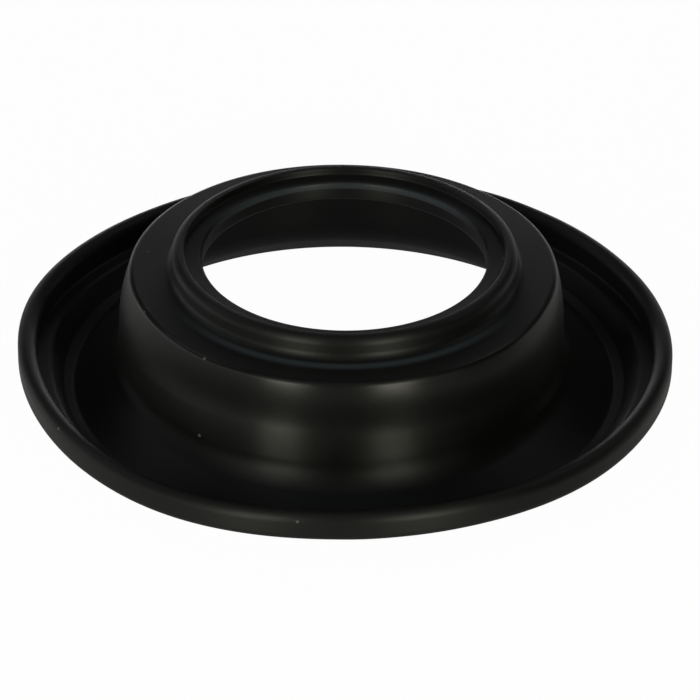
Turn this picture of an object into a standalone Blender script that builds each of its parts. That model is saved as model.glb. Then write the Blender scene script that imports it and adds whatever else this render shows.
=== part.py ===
"""Carburettor diaphragm: one turned moulding of black rubber.

The section is drawn in the XZ plane, where X is the radius from the axis and Z the height above
the surface that the moulding rests on, and it is spun about the Z axis. From the outside in, it
has a round sealing bead, a flat seat, a step down to a shallow channel, a flare that rises to the
steep wall of the hub, a flat shoulder, and a raised bead and a lip round the bore. The underside
follows the upper side at the thickness of each stretch, and its lowest ring lies under the channel.
"""

import math

import bmesh
import bpy
from mathutils import Matrix, Vector

MM = 0.001

# Outer bead, which is clamped in a groove
RIM_RADIUS = 37.5 * MM
RIM_BEAD_WIDTH = 2.1 * MM
RIM_BEAD_HEIGHT = 3.42 * MM
RIM_BEAD_LIFT = 0.4 * MM
RIM_BASE_RUN = 0.55 * MM

# Flange: seat, step and channel
SEAT_WIDTH = 1.65 * MM
STEP_RUN = 1.5 * MM
STEP_DROP = 2.0 * MM
CHANNEL_WIDTH = 1.15 * MM
CHANNEL_FALL = 0.45 * MM
CHANNEL_HEIGHT = 1.25 * MM
FLANGE_THICKNESS = 0.6 * MM

# Flare between the channel and the hub
FLARE_RUN = 5.6 * MM
FLARE_RISE = 3.9 * MM
FLARE_TOE_THICKNESS = 0.86 * MM
FLARE_THICKNESS = 0.5 * MM

# Wall and shoulder of the hub
FOOT_WALL_HEIGHT = 4.5 * MM
FOOT_WALL_DRAFT = 0.1 * MM
UPPER_WALL_HEIGHT = 6.25 * MM
UPPER_WALL_DRAFT = 0.55 * MM
WALL_THICKNESS = 0.6 * MM
SHOULDER_WIDTH = 5.15 * MM
SHOULDER_THICKNESS = 0.6 * MM

# Bead and lip round the bore
HUB_BEAD_WIDTH = 1.45 * MM
HUB_BEAD_HEIGHT = 2.48 * MM
LIP_WIDTH = 2.03 * MM
LIP_DROP = 0.8 * MM

# Corner radii of the upper side
SEAT_ROOT_RADIUS = 0.25 * MM
SEAT_EDGE_RADIUS = 0.7 * MM
CHANNEL_RADIUS = 0.35 * MM
FLARE_TOE_RADIUS = 0.5 * MM
WALL_FOOT_RADIUS = 0.8 * MM
WAIST_RADIUS = 20.0 * MM
SHOULDER_RADIUS = 1.8 * MM
HUB_BEAD_ROOT_RADIUS = 0.6 * MM
HUB_BEAD_RADIUS = 0.95 * MM
HUB_BEAD_INNER_RADIUS = 0.15 * MM
LIP_ROOT_RADIUS = 0.15 * MM
LIP_EDGE_RADIUS = 0.3 * MM

# Corner radii of the underside
BORE_EDGE_RADIUS = 0.45 * MM
INNER_CORNER_RADIUS = 1.2 * MM
BASE_RADIUS = 0.45 * MM

TURN_STEPS = 64
CHORD_ERROR = 0.03 * MM
LARGEST_REACH = 0.5
SMALLEST_TURN = math.radians(0.5)
WELD_DISTANCE = 0.000001
SHARP_ANGLE = math.radians(40.0)

RUBBER_COLOUR = (0.006, 0.006, 0.0055, 1.0)
RUBBER_ROUGHNESS = 0.4


def line_below(start, end, start_thickness, end_thickness):
    """Return the line below a stretch of the upper side, from the thickness at its two ends."""
    along = (end - start).normalized()
    below = Vector((-along.y, along.x))
    first = start + below * start_thickness
    last = end + below * end_thickness
    return first, (last - first).normalized()


def crossing(first, second):
    """Return the point where two lines cross, each given as a point and a direction."""
    first_point, first_along = first
    second_point, second_along = second
    gap = second_point - first_point
    turn = first_along.cross(second_along)
    return first_point + first_along * (gap.cross(second_along) / turn)


def rounded(before, corner, after, radius):
    """Return the points of the arc that rounds one corner of the section."""
    to_before = (before - corner).normalized()
    to_after = (after - corner).normalized()
    turn = math.pi - to_before.angle(to_after)
    if radius <= 0 or turn < SMALLEST_TURN:
        return [corner]
    room = LARGEST_REACH * min((before - corner).length, (after - corner).length)
    reach = min(radius * math.tan(turn / 2), room)
    arc_radius = reach / math.tan(turn / 2)
    start = corner + to_before * reach
    inward = (to_before + to_after).normalized()
    centre = corner + inward * (arc_radius / math.cos(turn / 2))
    spoke = start - centre
    facet_turn = 2 * math.acos(max(0.0, 1 - CHORD_ERROR / arc_radius))
    facets = math.ceil(turn / facet_turn)
    step = math.copysign(turn / facets, to_after.cross(to_before))
    return [centre + Matrix.Rotation(step * index, 2) @ spoke for index in range(facets + 1)]


def section_corners():
    """Return the corners of the section as (point, radius), from the rim inwards and back below."""
    step_foot_z = CHANNEL_HEIGHT + CHANNEL_FALL
    seat_z = step_foot_z + STEP_DROP
    foot_z = CHANNEL_HEIGHT + FLARE_RISE
    waist_z = foot_z + FOOT_WALL_HEIGHT
    shoulder_z = waist_z + UPPER_WALL_HEIGHT
    hub_top_z = shoulder_z + HUB_BEAD_HEIGHT
    lip_z = hub_top_z - LIP_DROP
    rim_base_z = seat_z - FLANGE_THICKNESS + RIM_BEAD_LIFT
    rim_top_z = rim_base_z + RIM_BEAD_HEIGHT

    rim_inner = RIM_RADIUS - RIM_BEAD_WIDTH
    seat_inner = rim_inner - SEAT_WIDTH
    step_foot = seat_inner - STEP_RUN
    channel_inner = step_foot - CHANNEL_WIDTH
    wall_foot = channel_inner - FLARE_RUN
    waist = wall_foot - FOOT_WALL_DRAFT
    shoulder = waist - UPPER_WALL_DRAFT
    hub_bead_outer = shoulder - SHOULDER_WIDTH
    hub_bead_inner = hub_bead_outer - HUB_BEAD_WIDTH
    bore = hub_bead_inner - LIP_WIDTH

    rim_round = RIM_BEAD_WIDTH / 2
    seat_root = Vector((rim_inner, seat_z))
    seat_edge = Vector((seat_inner, seat_z))
    channel_outer_edge = Vector((step_foot, step_foot_z))
    channel_inner_edge = Vector((channel_inner, CHANNEL_HEIGHT))
    foot_corner = Vector((wall_foot, foot_z))
    waist_corner = Vector((waist, waist_z))
    shoulder_corner = Vector((shoulder, shoulder_z))
    hub_bead_root = Vector((hub_bead_outer, shoulder_z))

    flange = (FLANGE_THICKNESS, FLANGE_THICKNESS)
    flare = (FLARE_TOE_THICKNESS, FLARE_THICKNESS)
    wall = (WALL_THICKNESS, WALL_THICKNESS)
    plate = (SHOULDER_THICKNESS, SHOULDER_THICKNESS)
    below_seat = line_below(seat_root, seat_edge, *flange)
    below_step = line_below(seat_edge, channel_outer_edge, *flange)
    resting_plane = (Vector((channel_inner, 0.0)), Vector((-1.0, 0.0)))
    below_flare = line_below(channel_inner_edge, foot_corner, *flare)
    inside_foot = line_below(foot_corner, waist_corner, *wall)
    inside_upper = line_below(waist_corner, shoulder_corner, *wall)
    below_shoulder = line_below(shoulder_corner, hub_bead_root, *plate)

    upper_side = [
        (Vector((RIM_RADIUS, rim_top_z)), rim_round),
        (Vector((rim_inner, rim_top_z)), rim_round),
        (seat_root, SEAT_ROOT_RADIUS),
        (seat_edge, SEAT_EDGE_RADIUS),
        (channel_outer_edge, CHANNEL_RADIUS),
        (channel_inner_edge, FLARE_TOE_RADIUS),
        (foot_corner, WALL_FOOT_RADIUS),
        (waist_corner, WAIST_RADIUS),
        (shoulder_corner, SHOULDER_RADIUS),
        (hub_bead_root, HUB_BEAD_ROOT_RADIUS),
        (Vector((hub_bead_outer, hub_top_z)), HUB_BEAD_RADIUS),
        (Vector((hub_bead_inner, hub_top_z)), HUB_BEAD_INNER_RADIUS),
        (Vector((hub_bead_inner, lip_z)), LIP_ROOT_RADIUS),
        (Vector((bore, lip_z)), LIP_EDGE_RADIUS),
    ]
    lower_side = [
        (Vector((bore, shoulder_z - SHOULDER_THICKNESS)), BORE_EDGE_RADIUS),
        (crossing(below_shoulder, inside_upper), INNER_CORNER_RADIUS),
        (crossing(inside_upper, inside_foot), WAIST_RADIUS),
        (crossing(inside_foot, below_flare), WALL_FOOT_RADIUS),
        (crossing(below_flare, resting_plane), 0.0),
        (crossing(resting_plane, below_step), 0.0),
        (crossing(below_step, below_seat), BASE_RADIUS),
        (Vector((rim_inner, seat_z - FLANGE_THICKNESS)), BASE_RADIUS),
        (Vector((rim_inner + RIM_BASE_RUN, rim_base_z)), BASE_RADIUS),
        (Vector((RIM_RADIUS, rim_base_z)), rim_round),
    ]
    return upper_side + lower_side


def section_outline():
    """Return the closed outline of the section with every corner rounded."""
    corners = section_corners()
    points = []
    for index, (corner, radius) in enumerate(corners):
        before = corners[index - 1][0]
        after = corners[(index + 1) % len(corners)][0]
        points.extend(rounded(before, corner, after, radius))
    return points


def rubber_material():
    """Return the plain black rubber of the moulding."""
    material = bpy.data.materials.new("black_rubber")
    material.use_nodes = True
    shader = material.node_tree.nodes["Principled BSDF"]
    shader.inputs["Base Color"].default_value = RUBBER_COLOUR
    shader.inputs["Roughness"].default_value = RUBBER_ROUGHNESS
    shader.inputs["Metallic"].default_value = 0.0
    return material


def build_diaphragm():
    """Spin the section into one closed moulding and link it to the scene."""
    shape = bmesh.new()
    ring = [shape.verts.new((point.x, 0.0, point.y)) for point in section_outline()]
    edges = [shape.edges.new((ring[index - 1], ring[index])) for index in range(len(ring))]
    bmesh.ops.spin(
        shape,
        geom=ring + edges,
        cent=(0.0, 0.0, 0.0),
        axis=(0.0, 0.0, 1.0),
        angle=math.tau,
        steps=TURN_STEPS,
        use_merge=True,
    )
    bmesh.ops.remove_doubles(shape, verts=shape.verts, dist=WELD_DISTANCE)
    bmesh.ops.recalc_face_normals(shape, faces=shape.faces)
    mesh = bpy.data.meshes.new("diaphragm")
    shape.to_mesh(mesh)
    shape.free()
    mesh.shade_smooth()
    mesh.set_sharp_from_angle(angle=SHARP_ANGLE)
    mesh.materials.append(rubber_material())
    diaphragm = bpy.data.objects.new("diaphragm", mesh)
    bpy.context.collection.objects.link(diaphragm)
    return diaphragm


for old_object in list(bpy.data.objects):
    bpy.data.objects.remove(old_object, do_unlink=True)
build_diaphragm()
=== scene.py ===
"""Looks of the carburettor diaphragm: one moulding of black rubber on a plain white floor.

The part stands hub up with its turning axis on Z, and its lowest ring rests at Z = 0. All sizes are
in metres, written as millimetres times MM. The script models the moulding again with fine facets
and the small bends that it has kept, dresses it in rubber, and sets up floor, lamps and camera.
"""

from __future__ import annotations

import logging
import math
from dataclasses import dataclass
from enum import Enum

import bmesh
import bpy
from mathutils import Matrix, Vector


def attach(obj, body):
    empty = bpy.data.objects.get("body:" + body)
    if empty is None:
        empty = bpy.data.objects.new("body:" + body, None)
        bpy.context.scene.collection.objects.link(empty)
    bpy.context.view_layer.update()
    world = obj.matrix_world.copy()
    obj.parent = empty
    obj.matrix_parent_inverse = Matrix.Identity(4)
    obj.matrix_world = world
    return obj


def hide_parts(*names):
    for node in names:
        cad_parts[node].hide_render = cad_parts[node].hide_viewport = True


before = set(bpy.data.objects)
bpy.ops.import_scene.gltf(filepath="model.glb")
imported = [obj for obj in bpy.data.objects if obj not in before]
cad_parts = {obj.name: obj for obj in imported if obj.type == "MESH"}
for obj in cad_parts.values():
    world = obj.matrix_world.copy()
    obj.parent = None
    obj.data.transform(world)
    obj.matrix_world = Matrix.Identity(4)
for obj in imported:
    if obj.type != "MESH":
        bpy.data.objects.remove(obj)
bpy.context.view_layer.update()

logging.basicConfig(level=logging.INFO, format="%(message)s")
log = logging.getLogger("diaphragm")

MM = 0.001
BODY = "root"
CAD_NODE = "diaphragm"
PHOTO_WIDTH = 700
WHITE = (1.0, 1.0, 1.0, 1.0)


class Signal:
    """A value that changes over a surface: the output socket of a shader node."""

    def __init__(self, sheet: ShaderSheet, socket: bpy.types.NodeSocket | None) -> None:
        """Keep the node tree and the socket, which is None for a tree's last node."""
        self.sheet = sheet
        self.socket = socket

    def _math(self, operation: str, *values: Signal | float) -> Signal:
        """Return the result of a Math node on the given values."""
        inputs = dict(enumerate(values))
        return self.sheet.add("ShaderNodeMath", {"operation": operation}, inputs)

    def __add__(self, other: Signal | float) -> Signal:
        """Return the sum."""
        return self._math("ADD", self, other)

    def __radd__(self, other: float) -> Signal:
        """Return the sum with a number on the left."""
        return self._math("ADD", other, self)

    def __sub__(self, other: Signal | float) -> Signal:
        """Return the difference."""
        return self._math("SUBTRACT", self, other)

    def __rsub__(self, other: float) -> Signal:
        """Return a number less this value."""
        return self._math("SUBTRACT", other, self)

    def __mul__(self, other: Signal | float) -> Signal:
        """Return the product."""
        return self._math("MULTIPLY", self, other)

    def __pow__(self, other: float) -> Signal:
        """Return the power."""
        return self._math("POWER", self, other)

    def smooth_step(self, low: float, high: float) -> Signal:
        """Return 0 below low and 1 above high, with a soft change between them."""
        settings = {"interpolation_type": "SMOOTHSTEP"}
        inputs = {"Value": self, "From Min": low, "From Max": high}
        return self.sheet.add("ShaderNodeMapRange", settings, inputs)


class ShaderSheet:
    """The node tree of one material or world, with one way to add a node to it."""

    def __init__(self, tree: bpy.types.NodeTree) -> None:
        """Empty the tree."""
        self.tree = tree
        tree.nodes.clear()

    def add(
        self,
        kind: str,
        settings: dict[str, object] | None = None,
        inputs: dict[str | int, object] | None = None,
        output: str | int = 0,
    ) -> Signal:
        """Add one node and return one of its outputs.

        Args:
            kind: The node's type.
            settings: Its properties, set before its sockets.
            inputs: Values or signals by socket name or index.
            output: Name or index of the output that is wanted.

        Returns:
            The output as a signal.
        """
        node = self.tree.nodes.new(kind)
        for name, value in (settings or {}).items():
            setattr(node, name, value)
        for key, value in (inputs or {}).items():
            if isinstance(value, Signal):
                self.tree.links.new(value.socket, node.inputs[key])
            else:
                node.inputs[key].default_value = value
        return Signal(self, node.outputs[output] if node.outputs else None)


@dataclass(frozen=True)
class Corner:
    """A corner of the section: radius from the axis, height, and the radius that rounds it."""

    across: float
    height: float
    rounding: float

    @property
    def place(self) -> Vector:
        """Return the corner as a point of the XZ plane."""
        return Vector((self.across, self.height))


@dataclass(frozen=True)
class Line:
    """A straight line of the section, by a point and a direction."""

    point: Vector
    along: Vector

    @classmethod
    def below(cls, start: Vector, end: Vector, thicknesses: tuple[float, float]) -> Line:
        """Return the line below a stretch of the upper side, from the thickness at its two ends."""
        along = (end - start).normalized()
        downward = Vector((-along.y, along.x))
        first = start + downward * thicknesses[0]
        last = end + downward * thicknesses[1]
        return cls(first, (last - first).normalized())

    def crossing(self, other: Line, rounding: float) -> Corner:
        """Return the corner where this line crosses another one."""
        gap = other.point - self.point
        share = gap.cross(other.along) / self.along.cross(other.along)
        place = self.point + self.along * share
        return Corner(place.x, place.y, rounding)


@dataclass(frozen=True)
class DiaphragmSection:
    """The section of the moulding in the XZ plane, with X the radius and Z the height."""

    rim_radius: float = 37.5 * MM
    rim_bead_width: float = 2.1 * MM
    rim_bead_height: float = 3.42 * MM
    rim_bead_lift: float = 0.4 * MM
    rim_base_run: float = 0.55 * MM
    seat_width: float = 1.65 * MM
    step_run: float = 1.5 * MM
    step_drop: float = 2.0 * MM
    channel_width: float = 1.15 * MM
    channel_fall: float = 0.45 * MM
    channel_height: float = 1.25 * MM
    flange_thickness: float = 0.6 * MM
    flare_run: float = 5.6 * MM
    flare_rise: float = 3.9 * MM
    flare_toe_thickness: float = 0.86 * MM
    flare_thickness: float = 0.5 * MM
    foot_wall_height: float = 7.05 * MM
    foot_wall_draft: float = 0.12 * MM
    upper_wall_height: float = 3.7 * MM
    upper_wall_draft: float = 1.13 * MM
    wall_thickness: float = 0.6 * MM
    shoulder_width: float = 4.55 * MM
    shoulder_thickness: float = 0.6 * MM
    hub_bead_width: float = 1.45 * MM
    hub_bead_height: float = 2.48 * MM
    lip_width: float = 2.03 * MM
    lip_drop: float = 0.8 * MM
    seat_root_rounding: float = 0.25 * MM
    seat_edge_rounding: float = 0.7 * MM
    channel_rounding: float = 0.35 * MM
    flare_toe_rounding: float = 0.5 * MM
    wall_foot_rounding: float = 3.6 * MM
    waist_rounding: float = 21.0 * MM
    shoulder_rounding: float = 0.7 * MM
    hub_bead_root_rounding: float = 0.8 * MM
    hub_bead_rounding: float = 0.95 * MM
    hub_bead_inner_rounding: float = 0.15 * MM
    lip_root_rounding: float = 0.15 * MM
    lip_edge_rounding: float = 0.3 * MM
    bore_edge_rounding: float = 0.45 * MM
    inner_corner_rounding: float = 1.2 * MM
    rest_edge_rounding: float = 0.08 * MM
    base_rounding: float = 0.45 * MM
    chord_error: float = 0.0015 * MM
    largest_reach: float = 0.9

    @property
    def seat_height(self) -> float:
        """Return the height of the flat seat."""
        return self.channel_height + self.channel_fall + self.step_drop

    @property
    def wall_foot_height(self) -> float:
        """Return the height at which the flare meets the wall."""
        return self.channel_height + self.flare_rise

    @property
    def waist_height(self) -> float:
        """Return the height at which the wall starts to lean in."""
        return self.wall_foot_height + self.foot_wall_height

    @property
    def shoulder_height(self) -> float:
        """Return the height of the flat shoulder."""
        return self.waist_height + self.upper_wall_height

    @property
    def top_height(self) -> float:
        """Return the height of the top of the hub's bead."""
        return self.shoulder_height + self.hub_bead_height

    @property
    def lip_height(self) -> float:
        """Return the height of the flat lip round the bore."""
        return self.top_height - self.lip_drop

    @property
    def wall_foot_radius(self) -> float:
        """Return the radius at which the flare meets the wall."""
        seat_inner = self.rim_radius - self.rim_bead_width - self.seat_width
        return seat_inner - self.step_run - self.channel_width - self.flare_run

    @property
    def shoulder_radius(self) -> float:
        """Return the radius of the shoulder's outer edge."""
        return self.wall_foot_radius - self.foot_wall_draft - self.upper_wall_draft

    @property
    def hub_bead_inner_radius(self) -> float:
        """Return the radius of the step inside the hub's bead."""
        return self.shoulder_radius - self.shoulder_width - self.hub_bead_width

    @property
    def bore_radius(self) -> float:
        """Return the radius of the bore."""
        return self.hub_bead_inner_radius - self.lip_width

    def corners(self) -> list[Corner]:
        """Return the corners from the rim inwards over the upper side and back below it.

        Returns:
            The corners, counter-clockwise in the XZ plane.
        """
        rim_round = self.rim_bead_width / 2
        rim_inner = self.rim_radius - self.rim_bead_width
        seat_inner = rim_inner - self.seat_width
        step_foot = seat_inner - self.step_run
        channel_inner = step_foot - self.channel_width
        rim_base = self.seat_height - self.flange_thickness + self.rim_bead_lift
        rim_top = rim_base + self.rim_bead_height
        hub_bead_outer = self.shoulder_radius - self.shoulder_width

        seat_root = Vector((rim_inner, self.seat_height))
        seat_edge = Vector((seat_inner, self.seat_height))
        channel_outer = Vector((step_foot, self.channel_height + self.channel_fall))
        channel_edge = Vector((channel_inner, self.channel_height))
        foot = Vector((self.wall_foot_radius, self.wall_foot_height))
        waist = Vector((self.wall_foot_radius - self.foot_wall_draft, self.waist_height))
        shoulder = Vector((self.shoulder_radius, self.shoulder_height))
        bead_root = Vector((hub_bead_outer, self.shoulder_height))

        flange = (self.flange_thickness, self.flange_thickness)
        flare = (self.flare_toe_thickness, self.flare_thickness)
        wall = (self.wall_thickness, self.wall_thickness)
        plate = (self.shoulder_thickness, self.shoulder_thickness)
        below_seat = Line.below(seat_root, seat_edge, flange)
        below_step = Line.below(seat_edge, channel_outer, flange)
        resting_plane = Line(Vector((channel_inner, 0.0)), Vector((-1.0, 0.0)))
        below_flare = Line.below(channel_edge, foot, flare)
        inside_foot = Line.below(foot, waist, wall)
        inside_upper = Line.below(waist, shoulder, wall)
        below_shoulder = Line.below(shoulder, bead_root, plate)

        upper_side = [
            Corner(self.rim_radius, rim_top, rim_round),
            Corner(rim_inner, rim_top, rim_round),
            Corner(*seat_root, self.seat_root_rounding),
            Corner(*seat_edge, self.seat_edge_rounding),
            Corner(*channel_outer, self.channel_rounding),
            Corner(*channel_edge, self.flare_toe_rounding),
            Corner(*foot, self.wall_foot_rounding),
            Corner(*waist, self.waist_rounding),
            Corner(*shoulder, self.shoulder_rounding),
            Corner(*bead_root, self.hub_bead_root_rounding),
            Corner(hub_bead_outer, self.top_height, self.hub_bead_rounding),
            Corner(self.hub_bead_inner_radius, self.top_height, self.hub_bead_inner_rounding),
            Corner(self.hub_bead_inner_radius, self.lip_height, self.lip_root_rounding),
            Corner(self.bore_radius, self.lip_height, self.lip_edge_rounding),
        ]
        bore_foot = self.shoulder_height - self.shoulder_thickness
        lower_side = [
            Corner(self.bore_radius, bore_foot, self.bore_edge_rounding),
            below_shoulder.crossing(inside_upper, self.inner_corner_rounding),
            inside_upper.crossing(inside_foot, self.waist_rounding),
            inside_foot.crossing(below_flare, self.wall_foot_rounding),
            below_flare.crossing(resting_plane, self.rest_edge_rounding),
            resting_plane.crossing(below_step, self.rest_edge_rounding),
            below_step.crossing(below_seat, self.base_rounding),
            Corner(rim_inner, self.seat_height - self.flange_thickness, self.base_rounding),
            Corner(rim_inner + self.rim_base_run, rim_base, self.base_rounding),
            Corner(self.rim_radius, rim_base, rim_round),
        ]
        return upper_side + lower_side

    def draw(self, shape: bmesh.types.BMesh) -> list[bmesh.types.BMVert]:
        """Draw the section in the XZ plane as one closed loop of edges.

        Args:
            shape: An empty bmesh.

        Returns:
            The loop's vertices in order.
        """
        corners = self.corners()
        loop: list[bmesh.types.BMVert] = []
        for index, corner in enumerate(corners):
            before = corners[index - 1]
            after = corners[(index + 1) % len(corners)]
            stretch = self._draw_corner(shape, before, corner, after)
            if loop:
                shape.edges.new((loop[-1], stretch[0]))
            loop.extend(stretch)
        shape.edges.new((loop[-1], loop[0]))
        return loop

    def _draw_corner(
        self, shape: bmesh.types.BMesh, before: Corner, corner: Corner, after: Corner
    ) -> list[bmesh.types.BMVert]:
        """Draw the arc that rounds one corner, by spinning its first point about its centre."""
        to_before = (before.place - corner.place).normalized()
        to_after = (after.place - corner.place).normalized()
        turn = math.pi - to_before.angle(to_after)
        nearest = min((before.place - corner.place).length, (after.place - corner.place).length)
        reach = min(corner.rounding * math.tan(turn / 2), self.largest_reach * nearest)
        arc_radius = reach / math.tan(turn / 2)
        start = corner.place + to_before * reach
        inward = (to_before + to_after).normalized()
        centre = corner.place + inward * (arc_radius / math.cos(turn / 2))
        facet_turn = 2 * math.acos(1 - self.chord_error / arc_radius)
        facets = math.ceil(turn / facet_turn)
        first = shape.verts.new((start.x, 0.0, start.y))
        drawn = len(shape.verts)
        bmesh.ops.spin(
            shape,
            geom=[first],
            cent=(centre.x, 0.0, centre.y),
            axis=(0.0, -1.0, 0.0),
            angle=math.copysign(turn, to_after.cross(to_before)),
            steps=facets,
        )
        shape.verts.ensure_lookup_table()
        return [first, *shape.verts[drawn:]]


def ramp(value: float, low: float, high: float) -> float:
    """Return 0 at low and 1 at high, with a soft change between them.

    Args:
        value: The place on the ramp.
        low: Where it starts.
        high: Where it ends, above or below the start.

    Returns:
        A share from 0 to 1.
    """
    share = min(1.0, max(0.0, (value - low) / (high - low)))
    return share * share * (3 - 2 * share)


@dataclass(frozen=True)
class EdgeBend:
    """A lasting bend of an edge, full at its azimuth and gone at its reach to both sides.

    Azimuths are in degrees: 0 at the front, growing to the right.
    """

    azimuth: float
    reach: float
    outward: float
    upward: float

    def share(self, azimuth: float) -> float:
        """Return how much of the bend there is at an azimuth."""
        away = abs((azimuth - self.azimuth + 180.0) % 360.0 - 180.0)
        return ramp(away, self.reach, 0.0)


@dataclass(frozen=True)
class LastingBends:
    """The small bends that this piece of soft rubber has kept. Azimuths are as in EdgeBend.

    The rim bends grow from the first rim radius to the second. The wall and the shoulder sit a
    little to the left. In front, the wall is pushed outwards, dented round its middle and drawn
    down at its foot. At the back, the shoulder's edge hangs a little.
    """

    rim_bends: tuple[EdgeBend, ...] = (
        EdgeBend(-33.0, 34.0, 0.24 * MM, -0.26 * MM),
        EdgeBend(-30.0, 46.0, 0.0, -0.19 * MM),
        EdgeBend(-77.0, 26.0, -0.21 * MM, 0.0),
        EdgeBend(-106.0, 22.0, 0.22 * MM, 0.0),
        EdgeBend(-142.0, 24.0, -0.14 * MM, -0.08 * MM),
        EdgeBend(72.0, 50.0, 0.2 * MM, -0.03 * MM),
        EdgeBend(47.0, 27.0, 0.0, -0.22 * MM),
        EdgeBend(122.0, 20.0, -0.12 * MM, 0.0),
        EdgeBend(153.0, 14.0, 0.14 * MM, 0.1 * MM),
    )
    rim_radii: tuple[float, float] = (31.5 * MM, 34.0 * MM)
    back_bend: EdgeBend = EdgeBend(172.0, 80.0, 0.0, -0.25 * MM)
    wall_shift: float = -0.3 * MM
    shoulder_shift: float = -0.17 * MM
    shoulder_heights: tuple[float, float] = (11.0 * MM, 15.0 * MM)
    shoulder_radii: tuple[float, float] = (20.5 * MM, 23.5 * MM)
    foot_heights: tuple[float, float] = (1.4 * MM, 4.5 * MM)
    foot_radius: float = 31.2 * MM
    dent_depth: float = 0.65 * MM
    dent_loss_to_right: float = 0.002 * MM
    dent_height: float = 10.5 * MM
    dent_fall_to_right: float = 0.02 * MM
    dent_above: float = 4.8 * MM
    dent_below: float = 4.2 * MM
    front_azimuths: tuple[float, float] = (80.0, 32.0)
    front_push: float = 0.5 * MM
    front_drop: float = -0.9 * MM
    front_drop_heights: tuple[float, float] = (9.0 * MM, 6.0 * MM)

    def _wall_move(self, azimuth: float, height: float) -> tuple[float, float, float]:
        """Return how far the wall moves to the right, outwards and upwards."""
        above = ramp(height, *self.shoulder_heights)
        shift = self.wall_shift + above * (self.shoulder_shift - self.wall_shift)
        front = ramp(abs(azimuth), *self.front_azimuths)
        middle = self.dent_height - self.dent_fall_to_right * azimuth
        reach = self.dent_above if height > middle else self.dent_below
        depth = self.dent_depth - self.dent_loss_to_right * azimuth
        outward = self.front_push - ramp(abs(height - middle), reach, 0.0) * depth
        upward = ramp(height, *self.front_drop_heights) * self.front_drop
        back = above * self.back_bend.share(azimuth) * self.back_bend.upward
        return shift, front * outward, front * upward + back

    def move(self, point: Vector) -> Vector:
        """Return the place of a point of the moulding after the bends.

        Args:
            point: Its place in the round moulding.

        Returns:
            Its place in this piece.
        """
        radius = math.hypot(point.x, point.y)
        outwards = Vector((point.x / radius, point.y / radius, 0.0))
        azimuth = math.degrees(math.atan2(point.x, -point.y))
        if radius > self.foot_radius:
            rim = ramp(radius, *self.rim_radii)
            outward = rim * sum(bend.outward * bend.share(azimuth) for bend in self.rim_bends)
            upward = rim * sum(bend.upward * bend.share(azimuth) for bend in self.rim_bends)
            return point + outwards * outward + Vector((0.0, 0.0, upward))
        shift, outward, upward = self._wall_move(azimuth, point.z)
        share = ramp(point.z, *self.foot_heights) * ramp(radius, *self.shoulder_radii)
        return point + (outwards * outward + Vector((shift, 0.0, upward))) * share


@dataclass(frozen=True)
class PaintedHighlightRing:
    """A ring of painted highlight on the rubber, a pale tint in its colour that stands in for
    reflected light, with soft edges.

    It fills the radii between inner and outer, each the start and end of a soft edge, and lies above
    its lowest height. Along Y it fades from the first value of fade, where there is none, to the
    second, where it is full.
    """

    inner: tuple[float, float]
    outer: tuple[float, float]
    lowest: float
    fade: tuple[float, float]
    centre_back: float = -0.6 * MM
    soft_edge: float = 0.1 * MM

    def strength(self, across: Signal, along: Signal, height: Signal) -> Signal:
        """Return how strong the painted highlight is at a place.

        Args:
            across: The place's X.
            along: Its Y.
            height: Its Z.

        Returns:
            A share from 0 to 1.
        """
        from_centre = along - self.centre_back
        radius = (across * across + from_centre * from_centre) ** 0.5
        band = radius.smooth_step(*self.inner) * (1.0 - radius.smooth_step(*self.outer))
        none, full = self.fade
        side = along.smooth_step(min(self.fade), max(self.fade))
        if none > full:
            side = 1.0 - side
        return band * side * height.smooth_step(self.lowest - self.soft_edge, self.lowest)


@dataclass(frozen=True)
class Speck:
    """A speck of pale dust on the rubber, full inside its core and gone at its radius."""

    place: tuple[float, float, float]
    radius: float = 0.22 * MM
    core_share: float = 0.5

    def cover(self, sheet: ShaderSheet, coordinates: Signal) -> Signal:
        """Return how much of the rubber the speck hides at a place.

        Args:
            sheet: The node tree.
            coordinates: The place.

        Returns:
            A share from 0 to 1.
        """
        inputs = {0: coordinates, 1: self.place}
        away = sheet.add("ShaderNodeVectorMath", {"operation": "DISTANCE"}, inputs, "Value")
        return 1.0 - away.smooth_step(self.core_share * self.radius, self.radius)


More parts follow.
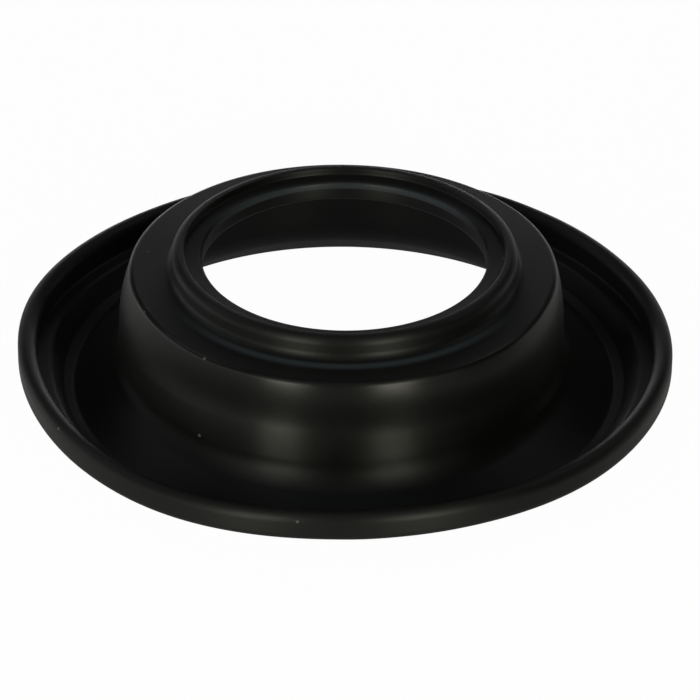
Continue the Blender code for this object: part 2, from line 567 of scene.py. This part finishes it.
@dataclass(frozen=True)
class RubberFinish:
    """Moulded black rubber: nearly black all through, with fine turning marks from the mould.

    The marks run round the axis, so that highlights spread up and down a wall more than along it. Two
    rings of painted highlight are laid into its colour, at the root of the hub's bead in front and at
    the lip's edge behind.
    """

    colour: tuple[float, float, float, float] = (0.0025, 0.0025, 0.0024, 1.0)
    dull_colour: tuple[float, float, float, float] = (0.0016, 0.0016, 0.0015, 1.0)
    # Pale bluish colour of the painted highlight rings, a reflection put into the rubber's colour.
    painted_highlight_colour: tuple[float, float, float, float] = (0.022, 0.0275, 0.031, 1.0)
    speck_colour: tuple[float, float, float, float] = (0.045, 0.047, 0.045, 1.0)
    roughness: float = 0.45
    wall_roughness: float = 0.33
    roughness_change: float = 0.03
    wall_radii: tuple[float, float] = (23.6 * MM, 24.2 * MM)
    wall_heights: tuple[float, float] = (4.0 * MM, 6.5 * MM)
    wall_reach: tuple[float, float] = (27.0 * MM, 30.0 * MM)
    # Painted highlight: a pale bluish ring in the colour at the root of the hub's bead, only on the
    # front half, where the fillet reflects light.
    root_painted_highlight: PaintedHighlightRing = PaintedHighlightRing(
        inner=(19.8 * MM, 20.5 * MM),
        outer=(20.7 * MM, 21.6 * MM),
        lowest=15.8 * MM,
        fade=(-6.0 * MM, -20.0 * MM),
    )
    # Painted highlight: a pale bluish band in the colour on the lip's edge round the bore, only on
    # the back half, where the edge reflects light.
    lip_painted_highlight: PaintedHighlightRing = PaintedHighlightRing(
        inner=(16.0 * MM, 16.2 * MM),
        outer=(16.5 * MM, 17.4 * MM),
        lowest=16.9 * MM,
        fade=(4.0 * MM, 14.0 * MM),
    )
    specks: tuple[Speck, ...] = (
        Speck((-22.4 * MM, 3.1 * MM, 15.9 * MM)),
        Speck((-22.4 * MM, -9.8 * MM, 15.8 * MM)),
        Speck((-22.0 * MM, -9.3 * MM, 15.9 * MM), 0.18 * MM),
        Speck((-15.4 * MM, -19.5 * MM, 15.7 * MM)),
        Speck((-16.0 * MM, -20.7 * MM, 6.35 * MM), 0.25 * MM),
        Speck((-31.7 * MM, -19.6 * MM, 6.4 * MM)),
        Speck((18.0 * MM, -0.6 * MM, 17.6 * MM)),
        Speck((-4.9 * MM, -37.2 * MM, 6.0 * MM)),
    )
    specular_level: float = 0.2
    anisotropic: float = 0.76
    marks_round_axis: float = 0.25
    mottle_size: float = 3.0 * MM
    mottle_detail: float = 3.0
    grain_size: float = 0.12 * MM
    grain_detail: float = 2.0
    grain_depth: float = 0.004 * MM

    def build(self) -> bpy.types.Material:
        """Return the finish as a material.

        Returns:
            A material on Object coordinates.
        """
        material = bpy.data.materials.new("black_rubber_finish")
        material.use_nodes = True
        sheet = ShaderSheet(material.node_tree)
        coordinates = sheet.add("ShaderNodeTexCoord", output="Object")
        mottle = sheet.add(
            "ShaderNodeTexNoise",
            {},
            {"Vector": coordinates, "Scale": 1 / self.mottle_size, "Detail": self.mottle_detail},
        )
        grain = sheet.add(
            "ShaderNodeTexNoise",
            {},
            {"Vector": coordinates, "Scale": 1 / self.grain_size, "Detail": self.grain_detail},
        )
        colour = sheet.add(
            "ShaderNodeMix",
            {"data_type": "RGBA"},
            {"Factor": mottle, "A": self.dull_colour, "B": self.colour},
            "Result",
        )
        across = sheet.add("ShaderNodeSeparateXYZ", {}, {0: coordinates}, "X")
        along = sheet.add("ShaderNodeSeparateXYZ", {}, {0: coordinates}, "Y")
        height = sheet.add("ShaderNodeSeparateXYZ", {}, {0: coordinates}, "Z")
        # Painted highlight: the pale bluish colour is mixed into the rubber on the two rings,
        # standing in for reflected light.
        painted_highlight = self.root_painted_highlight.strength(across, along, height)
        painted_highlight = painted_highlight + self.lip_painted_highlight.strength(across, along, height)
        colour = sheet.add(
            "ShaderNodeMix",
            {"data_type": "RGBA"},
            {"Factor": painted_highlight, "A": colour, "B": self.painted_highlight_colour},
            "Result",
        )
        dust = sum((speck.cover(sheet, coordinates) for speck in self.specks), 0.0)
        colour = sheet.add(
            "ShaderNodeMix",
            {"data_type": "RGBA"},
            {"Factor": dust, "A": colour, "B": self.speck_colour},
            "Result",
        )
        normal = sheet.add(
            "ShaderNodeBump",
            {},
            {"Height": grain, "Distance": self.grain_depth, "Strength": 1.0},
        )
        polish = self._on_wall(across, along, height) * (self.roughness - self.wall_roughness)
        roughness = self.roughness - polish + (mottle - 0.5) * (2 * self.roughness_change)
        surface = sheet.add(
            "ShaderNodeBsdfPrincipled",
            {},
            {
                "Base Color": colour,
                "Roughness": roughness,
                "Specular IOR Level": self.specular_level,
                "Anisotropic": self.anisotropic,
                "Anisotropic Rotation": self.marks_round_axis,
                "Normal": normal,
            },
        )
        sheet.add("ShaderNodeOutputMaterial", {}, {"Surface": surface})
        return material

    def _on_wall(self, across: Signal, along: Signal, height: Signal) -> Signal:
        """Return 1 on the wall of the hub and 0 on the rest."""
        radius = (across * across + along * along) ** 0.5
        inside = 1.0 - radius.smooth_step(*self.wall_reach)
        return radius.smooth_step(*self.wall_radii) * inside * height.smooth_step(*self.wall_heights)


@dataclass(frozen=True)
class Diaphragm:
    """The whole part: one turned moulding."""

    section: DiaphragmSection = DiaphragmSection()
    bends: LastingBends = LastingBends()
    finish: RubberFinish = RubberFinish()
    turn_steps: int = 288
    weld_distance: float = 0.001 * MM

    def build(self) -> bpy.types.Object:
        """Spin the section, bend it, dress it, and put it in the place of the plain solid.

        Returns:
            The finished piece.
        """
        shape = bmesh.new()
        loop = self.section.draw(shape)
        bmesh.ops.spin(
            shape,
            geom=loop + shape.edges[:],
            cent=(0.0, 0.0, 0.0),
            axis=(0.0, 0.0, 1.0),
            angle=math.tau,
            steps=self.turn_steps,
            use_merge=True,
        )
        bmesh.ops.remove_doubles(shape, verts=shape.verts, dist=self.weld_distance)
        bmesh.ops.recalc_face_normals(shape, faces=shape.faces)
        for vertex in shape.verts:
            vertex.co = self.bends.move(vertex.co)
        mesh = bpy.data.meshes.new("moulding")
        shape.to_mesh(mesh)
        shape.free()
        mesh.shade_smooth()
        mesh.materials.append(self.finish.build())
        piece = bpy.data.objects.new("moulding", mesh)
        bpy.context.scene.collection.objects.link(piece)
        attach(piece, BODY)
        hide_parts(CAD_NODE)
        return piece


class Tint(Enum):
    """The colours of the lamps."""

    NEUTRAL = (1.0, 1.0, 1.0)
    WARM = (1.0, 0.99, 0.82)
    COOL = (0.84, 0.97, 1.0)


@dataclass(frozen=True)
class Softbox:
    """A rectangular lamp that faces the part, by its direction and by the angles that it fills.

    Angles are in degrees: azimuth is 0 behind the camera and grows to the camera's right, and
    elevation is 0 at the floor. Across and up are the lamp's width and height as the part sees it.
    """

    name: str
    azimuth: float
    elevation: float
    across: float
    up: float
    radiance: float
    tint: Tint = Tint.NEUTRAL
    distance: float = 0.9

    def _length(self, angle: float) -> float:
        """Return the length that fills an angle at the lamp's distance."""
        return 2 * self.distance * math.tan(math.radians(angle) / 2)

    def build(self, target: Vector) -> bpy.types.Object:
        """Return the lamp, aimed at the target.

        Args:
            target: The point that it faces.

        Returns:
            The lamp's object.
        """
        turn = math.radians(self.azimuth)
        rise = math.radians(self.elevation)
        level = math.cos(rise)
        towards_lamp = Vector((math.sin(turn) * level, -math.cos(turn) * level, math.sin(rise)))
        width = self._length(self.across)
        height = self._length(self.up)
        lamp = bpy.data.lights.new(self.name, "AREA")
        lamp.shape = "RECTANGLE"
        lamp.size = width
        lamp.size_y = height
        lamp.energy = self.radiance * math.pi * width * height
        lamp.color = self.tint.value
        holder = bpy.data.objects.new(self.name, lamp)
        holder.location = target + towards_lamp * self.distance
        holder.rotation_euler = (-towards_lamp).to_track_quat("-Z", "Y").to_euler()
        bpy.context.scene.collection.objects.link(holder)
        return holder


@dataclass(frozen=True)
class Studio:
    """Floor, world and lamps."""

    softboxes: tuple[Softbox, ...] = (
        Softbox("left_low", -27.5, 10.0, 16.5, 20.0, 14.5, Tint.WARM),
        Softbox("left_high", -30.5, 30.0, 18.0, 20.0, 2.3),
        Softbox("left_wide", -51.5, 15.0, 20.0, 30.0, 1.6),
        Softbox("left_strip", -96.0, 5.0, 68.0, 10.0, 2.7),
        Softbox("left_haze", -87.0, 18.0, 47.0, 16.0, 0.9),
        Softbox("right_low", 25.0, 12.0, 16.5, 24.0, 14.5, Tint.WARM),
        Softbox("front_fill", 0.0, 10.0, 30.0, 24.0, 0.4),
        Softbox("right_wide", 48.0, 12.0, 23.5, 24.0, 0.7),
        Softbox("right_strip", 115.0, 4.0, 30.0, 8.0, 1.6),
        Softbox("front_high", 0.0, 55.0, 69.0, 22.0, 0.65),
        Softbox("back_strip", 180.0, 4.0, 34.0, 8.0, 4.4),
        Softbox("back_wide", 180.0, 4.0, 64.0, 8.0, 1.6),
        Softbox("back_low", 180.0, 26.0, 27.0, 16.0, 0.45),
        Softbox("side_high_left", -125.0, 52.0, 26.0, 20.0, 1.0),
        Softbox("side_high_right", 130.0, 52.0, 26.0, 20.0, 0.9),
        Softbox("ceiling", 0.0, 90.0, 46.0, 46.0, 0.2, Tint.COOL),
    )
    floor_radius: float = 4.0
    floor_segments: int = 64
    floor_colour: tuple[float, float, float, float] = (0.8, 0.8, 0.8, 1.0)
    floor_glow: float = 0.98
    gloss_glow: float = 0.2
    world_level: float = 0.006

    def build(self, target: Vector) -> None:
        """Build the floor, the world and the lamps.

        Args:
            target: The point that the lamps face.
        """
        self._build_floor()
        self._build_world()
        for softbox in self.softboxes:
            softbox.build(target)

    def _build_floor(self) -> None:
        """Lay a wide round floor at the height that the part rests on."""
        shape = bmesh.new()
        bmesh.ops.create_circle(
            shape, cap_ends=True, radius=self.floor_radius, segments=self.floor_segments
        )
        mesh = bpy.data.meshes.new("floor")
        shape.to_mesh(mesh)
        shape.free()
        mesh.materials.append(self._floor_material())
        floor = bpy.data.objects.new("floor", mesh)
        bpy.context.scene.collection.objects.link(floor)

    def _floor_material(self) -> bpy.types.Material:
        """Return the white paper of the floor, part of which glows for rays that see it."""
        material = bpy.data.materials.new("floor_paper")
        material.use_nodes = True
        sheet = ShaderSheet(material.node_tree)
        paper = sheet.add("ShaderNodeBsdfDiffuse", {}, {"Color": self.floor_colour})
        white = sheet.add("ShaderNodeEmission", {}, {"Strength": 1.0})
        seen = self._seen_share(sheet)
        surface = sheet.add("ShaderNodeMixShader", {}, {0: seen, 1: paper, 2: white})
        sheet.add("ShaderNodeOutputMaterial", {}, {"Surface": surface})
        return material

    def _seen_share(self, sheet: ShaderSheet) -> Signal:
        """Return how much of the white glow a ray sees, by the surface that it comes from."""
        camera = sheet.add("ShaderNodeLightPath", output="Is Camera Ray")
        glossy = sheet.add("ShaderNodeLightPath", output="Is Glossy Ray")
        clear = sheet.add("ShaderNodeLightPath", output="Is Transmission Ray")
        return (camera + clear) * self.floor_glow + glossy * self.gloss_glow

    def _build_world(self) -> None:
        """Fill the room with an even grey light."""
        world = bpy.data.worlds.new("room")
        world.use_nodes = True
        sheet = ShaderSheet(world.node_tree)
        light = sheet.add(
            "ShaderNodeBackground",
            {},
            {"Color": WHITE, "Strength": self.world_level},
        )
        sheet.add("ShaderNodeOutputWorld", {}, {"Surface": light})
        bpy.context.scene.world = world


@dataclass(frozen=True)
class PhotoCamera:
    """The camera of the photograph, which looks along +Y and down at the part."""

    elevation: float = 32.0
    roll: float = 0.43
    distance: float = 0.555
    lens: float = 248.2
    sensor_width: float = 36.0
    aim_left: float = 6.14
    aim_below: float = 8.14

    def build(self, target: Vector) -> bpy.types.Object:
        """Make the scene's camera.

        Args:
            target: The point of the axis that the distance is measured from.

        Returns:
            The camera's object.
        """
        rise = math.radians(self.elevation)
        backwards = Vector((0.0, -math.cos(rise), math.sin(rise)))
        lens = bpy.data.cameras.new("camera")
        lens.lens = self.lens
        lens.sensor_width = self.sensor_width
        lens.shift_x = self.aim_left / PHOTO_WIDTH
        lens.shift_y = self.aim_below / PHOTO_WIDTH
        camera = bpy.data.objects.new("camera", lens)
        level = (-backwards).to_track_quat("-Z", "Y").to_matrix()
        turned = level @ Matrix.Rotation(math.radians(self.roll), 3, "Z")
        camera.matrix_world = Matrix.Translation(target + backwards * self.distance) @ turned.to_4x4()
        bpy.context.scene.collection.objects.link(camera)
        bpy.context.scene.camera = camera
        return camera


def main() -> None:
    """Build the part and the studio round it."""
    bpy.context.scene.view_settings.view_transform = "Standard"
    diaphragm = Diaphragm()
    aim = Vector((0.0, 0.0, diaphragm.section.seat_height))
    PhotoCamera().build(aim)
    Studio().build(aim)
    piece = diaphragm.build()
    log.info("%s: %d faces", piece.name, len(piece.data.polygons))


if __name__ == "__main__":
    main()
